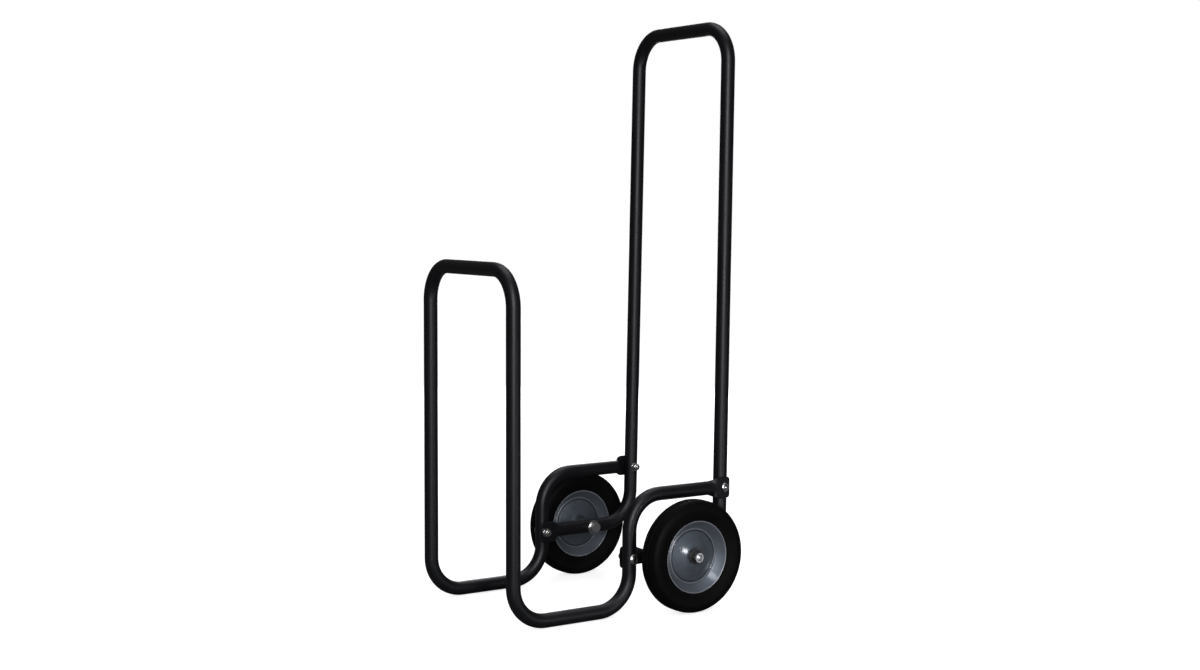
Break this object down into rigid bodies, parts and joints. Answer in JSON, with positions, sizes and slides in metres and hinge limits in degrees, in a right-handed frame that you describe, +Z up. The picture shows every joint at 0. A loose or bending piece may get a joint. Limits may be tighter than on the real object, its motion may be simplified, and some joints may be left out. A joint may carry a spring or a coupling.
{
  "type": "fireside log cart",
  "caption": "Upright wheeled cart for firewood: a bent-tube cradle with a front hoop, a tall looped handle behind it and disc wheels on short axle bolts.",
  "frame": {"origin": "on the floor, under the middle of the cart's overall width and depth", "axes": "+Z up; the hoop stands toward -Y and the handle toward +Y; +X is the near side, along the wheels' axis"},
  "size_m": [0.4298, 0.4811, 1.0613],
  "materials": {
    "black_powder_coat": "satin black powder coat, slightly blue",
    "black_rubber": "dull black rubber with a fine tread",
    "grey_disc_paint": "bluish grey paint with a soft gloss, on pressed steel",
    "bright_zinc": "bright zinc plate",
    "plain_steel": "bare drawn steel",
    "white_nylon": "plain nylon"
  },
  "bodies": {
    "frame": {"cradle_frame": "black_powder_coat", "handle_frame": "black_powder_coat", "riser_bolt_near": "bright_zinc", "riser_washer_near": "bright_zinc", "riser_nut_near": "bright_zinc", "rear_bolt_near": "bright_zinc", "rear_washer_near": "bright_zinc", "rear_nut_near": "bright_zinc", "axle_bolt_near": "bright_zinc", "axle_head_washer_near": "bright_zinc", "axle_spacer_near": "plain_steel", "axle_washer_near": "bright_zinc", "axle_nut_near": "bright_zinc", "riser_bolt_far": "bright_zinc", "riser_washer_far": "bright_zinc", "riser_nut_far": "bright_zinc", "rear_bolt_far": "bright_zinc", "rear_washer_far": "bright_zinc", "rear_nut_far": "bright_zinc", "axle_bolt_far": "bright_zinc", "axle_head_washer_far": "bright_zinc", "axle_spacer_far": "plain_steel", "axle_washer_far": "bright_zinc", "axle_nut_far": "bright_zinc"},
    "wheel_near": {"tyre_near": "black_rubber", "outer_disc_near": "grey_disc_paint", "inner_disc_near": "grey_disc_paint", "hub_tube_near": "plain_steel", "hub_bushing_near": "white_nylon"},
    "wheel_far": {"tyre_far": "black_rubber", "outer_disc_far": "grey_disc_paint", "inner_disc_far": "grey_disc_paint", "hub_tube_far": "plain_steel", "hub_bushing_far": "white_nylon"}
  },
  "joints": [
    {"name": "near_wheel_spin", "type": "hinge", "parent": "frame", "child": "wheel_near", "pos_m": [0.19025, 0.1182, 0.1016], "axis": [1, 0, 0], "continuous": true},
    {"name": "far_wheel_spin", "type": "hinge", "parent": "frame", "child": "wheel_far", "pos_m": [-0.19025, 0.1182, 0.1016], "axis": [1, 0, 0], "continuous": true}
  ]
}
